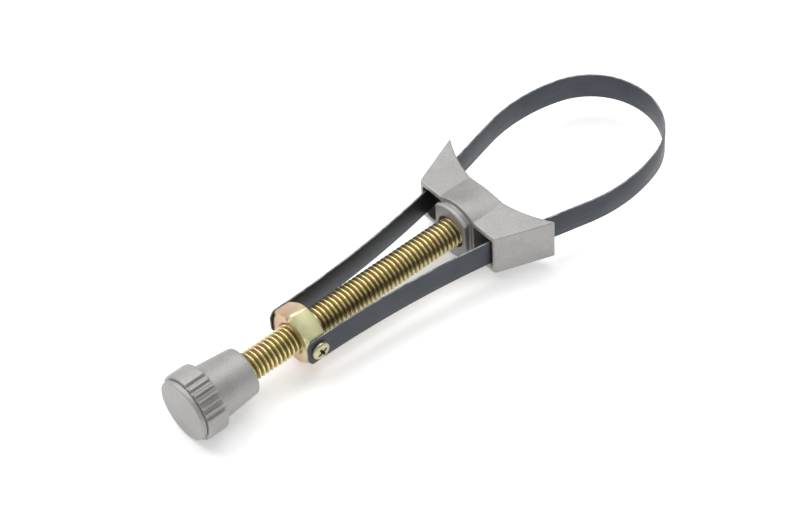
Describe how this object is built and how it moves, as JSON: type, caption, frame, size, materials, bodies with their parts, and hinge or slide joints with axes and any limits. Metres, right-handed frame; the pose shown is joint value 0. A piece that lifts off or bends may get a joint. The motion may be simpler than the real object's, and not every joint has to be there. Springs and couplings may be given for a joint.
{
  "type": "oil filter wrench",
  "caption": "Adjustable strap wrench for oil filters: turning the ribbed knob on a threaded rod draws a spring-steel band loop through a cast yoke to grip a round filter.",
  "frame": {"origin": "centre of the round front of the band loop, on the screw axis, at mid width of the band", "axes": "+X along the screw from the knob towards the loop, +Z along the filter's axis, +Y to the left seen from the knob"},
  "size_m": [0.2441, 0.0646, 0.029],
  "materials": {
    "cast_aluminium": "satin as-cast, fine grain",
    "spring_steel": "blued spring steel, semi-gloss",
    "yellow_zinc": "yellow passivated zinc, iridescent",
    "yellow_zinc_nut": "yellow passivated zinc, iridescent",
    "pale_zinc": "pale passivated zinc",
    "plain_steel": "plain turned steel"
  },
  "bodies": {
    "yoke": {"yoke": "cast_aluminium", "thrust_washer": "plain_steel"},
    "screw": {"threaded_rod": "yellow_zinc", "knob": "cast_aluminium", "retaining_ring": "plain_steel"},
    "nut": {"nut": "yellow_zinc_nut", "band_screw_left": "pale_zinc", "band_screw_right": "pale_zinc", "band_end_left": "spring_steel", "band_end_right": "spring_steel"},
    "band_left_1": {"band_link_left_1": "spring_steel"},
    "band_left_2": {"band_link_left_2": "spring_steel"},
    "band_left_3": {"band_link_left_3": "spring_steel"},
    "band_left_4": {"band_link_left_4": "spring_steel"},
    "band_left_5": {"band_link_left_5": "spring_steel"},
    "band_left_6": {"band_link_left_6": "spring_steel"},
    "band_right_1": {"band_link_right_1": "spring_steel"},
    "band_right_2": {"band_link_right_2": "spring_steel"},
    "band_right_3": {"band_link_right_3": "spring_steel"},
    "band_right_4": {"band_link_right_4": "spring_steel"},
    "band_right_5": {"band_link_right_5": "spring_steel"},
    "band_right_6": {"band_link_right_6": "spring_steel"}
  },
  "joints": [
    {"name": "screw_spin", "type": "hinge", "parent": "yoke", "child": "screw", "pos_m": [-0.068, 0, 0], "axis": [1, 0, 0], "range_deg": [-8500, 3400]},
    {"name": "nut_slide", "type": "slide", "parent": "yoke", "child": "nut", "axis": [1, 0, 0], "range_m": [-0.0201, 0.0501]},
    {"name": "band_left_hinge_1", "type": "hinge", "parent": "nut", "child": "band_left_1", "pos_m": [-0.1503, 0.01135, 0], "axis": [0, 0, 1], "range_deg": [-6.05, 15.1]},
    {"name": "band_left_hinge_2", "type": "hinge", "parent": "band_left_1", "child": "band_left_2", "pos_m": [-0.12538, 0.01239, 0], "axis": [0, 0, 1], "range_deg": [-9.8, 3.95]},
    {"name": "band_left_hinge_3", "type": "hinge", "parent": "band_left_2", "child": "band_left_3", "pos_m": [-0.05161, 0.02431, 0], "axis": [0, 0, 1], "range_deg": [-10.15, 4.1]},
    {"name": "band_left_hinge_4", "type": "hinge", "parent": "band_left_3", "child": "band_left_4", "pos_m": [-0.0274, 0.03032, 0], "axis": [0, 0, 1], "range_deg": [-12.5, 5]},
    {"name": "band_left_hinge_5", "type": "hinge", "parent": "band_left_4", "child": "band_left_5", "pos_m": [-0.0026, 0.03127, 0], "axis": [0, 0, 1], "range_deg": [-3.1, 7.65]},
    {"name": "band_left_hinge_6", "type": "hinge", "parent": "band_left_5", "child": "band_left_6", "pos_m": [0.02021, 0.02217, 0], "axis": [0, 0, 1], "range_deg": [-3.9, 9.7]},
    {"name": "band_right_hinge_1", "type": "hinge", "parent": "nut", "child": "band_right_1", "pos_m": [-0.1503, -0.01135, 0], "axis": [0, 0, 1], "range_deg": [-15.1, 6.05]},
    {"name": "band_right_hinge_2", "type": "hinge", "parent": "band_right_1", "child": "band_right_2", "pos_m": [-0.12538, -0.01239, 0], "axis": [0, 0, 1], "range_deg": [-3.95, 9.8]},
    {"name": "band_right_hinge_3", "type": "hinge", "parent": "band_right_2", "child": "band_right_3", "pos_m": [-0.05161, -0.02431, 0], "axis": [0, 0, 1], "range_deg": [-4.1, 10.15]},
    {"name": "band_right_hinge_4", "type": "hinge", "parent": "band_right_3", "child": "band_right_4", "pos_m": [-0.0274, -0.03032, 0], "axis": [0, 0, 1], "range_deg": [-5, 12.5]},
    {"name": "band_right_hinge_5", "type": "hinge", "parent": "band_right_4", "child": "band_right_5", "pos_m": [-0.0026, -0.03127, 0], "axis": [0, 0, 1], "range_deg": [-7.65, 3.1]},
    {"name": "band_right_hinge_6", "type": "hinge", "parent": "band_right_5", "child": "band_right_6", "pos_m": [0.02021, -0.02217, 0], "axis": [0, 0, 1], "range_deg": [-9.7, 3.9]}
  ],
  "couplings": [
    {"joint": "nut_slide", "follows": "screw_spin", "m_per_rad": -0.00033688},
    {"joint": "band_left_hinge_1", "follows": "screw_spin", "ratio": -0.0017696},
    {"joint": "band_left_hinge_2", "follows": "screw_spin", "ratio": 0.0011481},
    {"joint": "band_left_hinge_3", "follows": "screw_spin", "ratio": 0.0011903},
    {"joint": "band_left_hinge_4", "follows": "screw_spin", "ratio": 0.0014621},
    {"joint": "band_left_hinge_5", "follows": "screw_spin", "ratio": -0.00089508},
    {"joint": "band_left_hinge_6", "follows": "screw_spin", "ratio": -0.0011358},
    {"joint": "band_right_hinge_1", "follows": "screw_spin", "ratio": 0.0017696},
    {"joint": "band_right_hinge_2", "follows": "screw_spin", "ratio": -0.0011481},
    {"joint": "band_right_hinge_3", "follows": "screw_spin", "ratio": -0.0011903},
    {"joint": "band_right_hinge_4", "follows": "screw_spin", "ratio": -0.0014621},
    {"joint": "band_right_hinge_5", "follows": "screw_spin", "ratio": 0.00089508},
    {"joint": "band_right_hinge_6", "follows": "screw_spin", "ratio": 0.0011358}
  ]
}
